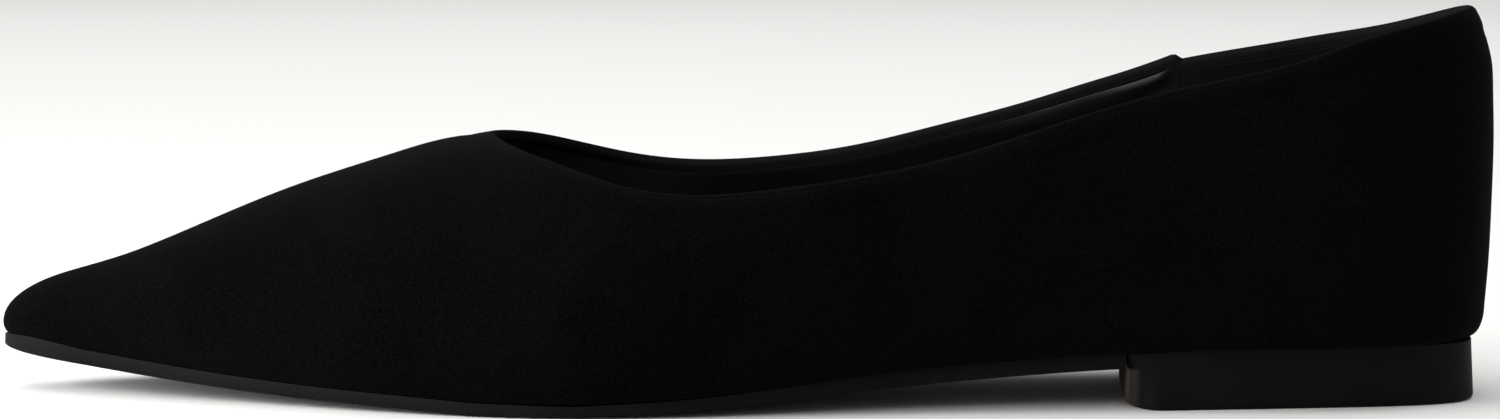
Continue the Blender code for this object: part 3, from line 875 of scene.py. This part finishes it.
# Partly real, partly painted light: the bare front face is brownish, and painted paler still where it lies
# in shade; its lit corners are painted darker
pale_face_light = add_node(rubber, "ShaderNodeAttribute", attribute_name="front")
colour = add_node(
    rubber,
    "ShaderNodeMix",
    {"Factor": pale_face_light.outputs["Fac"], "A": shades.outputs["Color"], "B": linear("#5a5046")},
    data_type="RGBA",
)
sheen = add_node(rubber, "ShaderNodeMix", {"Factor": pale_face_light.outputs["Fac"], "A": 0.06, "B": 0.0})
feed(
    rubber,
    shader,
    Base_Color=colour.outputs["Result"],
    Specular_IOR_Level=sheen.outputs["Result"],
    Normal=bumps.outputs["Normal"],
)
outsole.data.materials.append(rubber)
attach(outsole, "root")
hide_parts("outsole")

# Heel
# Low block of the same black rubber under the seat of the heel. Its front face is flat and slanted, with
# corners that are wide on the floor, and its back is a squarish round. It is pinned from inside and
# cemented, so that no fixing shows.
HEEL_FRONT = 2.9        # sides at the front face, in from the widest line of the upper
HEEL_TAPER = 0.125      # how far they run in for each millimetre back
HEEL_BACK = 4.3         # the back, at the seat
BLOCK_FULL = 4.2        # power of the superellipse that rounds the back
HEEL_FLARE = 0.5        # how much further back it stands on the floor
HEEL_ROUND = 0.9        # radius of the lower edge
FRONT_EDGE = 0.4        # height at which the flat front face begins
HEEL_CORNER = 5.5       # length of the two rounded front corners
CORNER_REACH = 12.0     # how far across they reach on the floor
CORNER_SEAT = 1.2       # and at the seat, where they are almost square
BARE = 1.7              # how far round the corners the bare front face reaches
BARE_TOP = 2.8          # depth of the black band above it
BARE_SOFT = 0.3         # half breadth of its soft border
CORNER_PAINTED_SHADE = 0.76      # how much of the painted light is taken back on the corners, as painted shade where the lamps light them
CORNER_SHADE_FROM = 0.05        # distances behind the face between which that is lost
CORNER_SHADE_FULL = 0.6


def heel_level(x, extra, height, rise):
    """One outline of the block as outer and inner points: the front slanted, its corners quarter ellipses,
    and the back half a superellipse, flared more the less it has risen from the floor. The first station is
    the rim of the front face."""
    face_rim = np.arange(len(x)) == 0
    height = np.where(face_rim, max(height, FRONT_EDGE), height)
    ahead = np.maximum(0.0, (HEEL_CENTRE - x) / (HEEL_CENTRE - BREAST))
    inset = HEEL_FRONT + HEEL_TAPER * (x - BREAST) + extra
    moved, outer_y, inner_y = outline(
        x, inset, inset, HEEL_BACK - HEEL_FLARE * (1 - rise) + extra, BLOCK_FULL
    )
    moved = np.where(x < HEEL_CENTRE, x + extra * ahead * ~face_rim, moved)
    short = np.maximum(0.0, 1 - (x - BREAST) / HEEL_CORNER)
    cut = (CORNER_REACH + (CORNER_SEAT - CORNER_REACH) * rise) * (1 - np.sqrt(1 - short**2))
    edges = []
    for y in (outer_y + cut, inner_y - cut):
        at = moved + slant(x) * y
        edges.append(np.stack([at, y, height + rise * (feather(at) - GAP - height)], -1))
    return edges


block_x = np.concatenate([
    [BREAST],
    stations(BREAST, (BREAST + HEEL_CORNER, HEEL_CENTRE), (14, 14)),
    heel_stations(40),
])
block_levels = [
    heel_level(block_x, HEEL_ROUND * (1 - math.sin(lean)), HEEL_ROUND * (1 - math.cos(lean)), 0.0)
    for lean in np.linspace(0.0, HALF_PI, 8)
]
block_levels += [heel_level(block_x, 0.0, HEEL_ROUND, rise) for rise in np.linspace(0.0, 1.0, 30)[1:]]
outer, inner = zip(*block_levels)
heel_points, heel_faces = loops(
    outer, inner, across(outer[0], inner[0], 16), across(outer[-1], inner[-1], 4), cap_first=True
)
behind = heel_points[:, 0] - slant(BREAST) * heel_points[:, 1] - BREAST
below_seat = feather(heel_points[:, 0]) - GAP - heel_points[:, 2]
# Painted light and shade: pale on the shaded front face, cut back on the lit corners
front = 1 - CORNER_PAINTED_SHADE * ease(behind, CORNER_SHADE_FROM, CORNER_SHADE_FULL)
front = front * (1 - ease(behind, BARE - BARE_SOFT, BARE + BARE_SOFT))
front = front * ease(below_seat, BARE_TOP - BARE_SOFT, BARE_TOP + BARE_SOFT)
heel = make_piece("rubber_heel", heel_points, heel_faces, sharp=45, front=front)
heel.data.materials.append(rubber)
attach(heel, "root")
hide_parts("heel_block")

# Floor, light and camera
# A plain pale floor, soft lights from the toe side, the camera side and above, and the camera of the
# photograph: in front of the shoe's side, a little above it, looking down by about five degrees.
FLOOR = 9.0             # half its breadth, in metres
SKY = 0.38              # strength of the even white light all round
IMAGE_WIDE = 1500       # pixels of the photograph across
FOCAL_PIXELS = 3797.6   # focal length in those pixels
SENSOR = 36.0           # breadth of the sensor
CAMERA_AT = (1.2, -657.1, 92.2)     # in the shoe's frame
CAMERA_DOWN = 5.27      # degrees
corners = [(-FLOOR, -FLOOR, 0.0), (FLOOR, -FLOOR, 0.0), (FLOOR, FLOOR, 0.0), (-FLOOR, FLOOR, 0.0)]
floor_mesh = bpy.data.meshes.new("floor")
floor_mesh.from_pydata(corners, [], [(0, 1, 2, 3)])
floor = bpy.data.objects.new("floor", floor_mesh)
bpy.context.scene.collection.objects.link(floor)

# Matt background paper, so pale that it turns almost white in the light
paper = new_material("pale paper floor", Base_Color=linear("#f3f2f0"), Roughness=0.9)[0]
floor_mesh.materials.append(paper)

world = bpy.data.worlds.new("studio")
world.use_nodes = True
world.node_tree.nodes["Background"].inputs["Color"].default_value = linear("#ffffff")
world.node_tree.nodes["Background"].inputs["Strength"].default_value = SKY
bpy.context.scene.world = world
bpy.context.scene.view_settings.view_transform = "Standard"


def soft_light(name, position, target, size, watts):
    """A square area light that looks at a point; places and size are in metres."""
    data = bpy.data.lights.new(name, "AREA")
    data.size = size
    data.energy = watts
    lamp = bpy.data.objects.new(name, data)
    lamp.location = position
    aim = np.array(target) - np.array(position)
    lamp.rotation_euler = (
        math.acos(-aim[2] / np.linalg.norm(aim)), 0.0, math.atan2(aim[0], -aim[1]) + math.pi
    )
    bpy.context.scene.collection.objects.link(lamp)


soft_light("toe_side", position=(-0.56, -0.2, 0.17), target=(-0.1, 0.0, 0.02), size=0.35, watts=5.0)
soft_light("camera_side", position=(0.15, -1.3, 1.0), target=(0.0, 0.0, 0.03), size=0.5, watts=2.5)
soft_light("overhead", position=(-0.3, 0.5, 1.8), target=(-0.1, 0.3, 0.0), size=3.0, watts=40.0)

lens = bpy.data.cameras.new("photo_camera")
lens.sensor_width = SENSOR
lens.lens = FOCAL_PIXELS * SENSOR / IMAGE_WIDE
camera = bpy.data.objects.new("photo_camera", lens)
camera.location = np.array(CAMERA_AT) * MM
camera.rotation_euler = (HALF_PI - math.radians(CAMERA_DOWN), 0.0, 0.0)
bpy.context.scene.collection.objects.link(camera)
bpy.context.scene.camera = camera
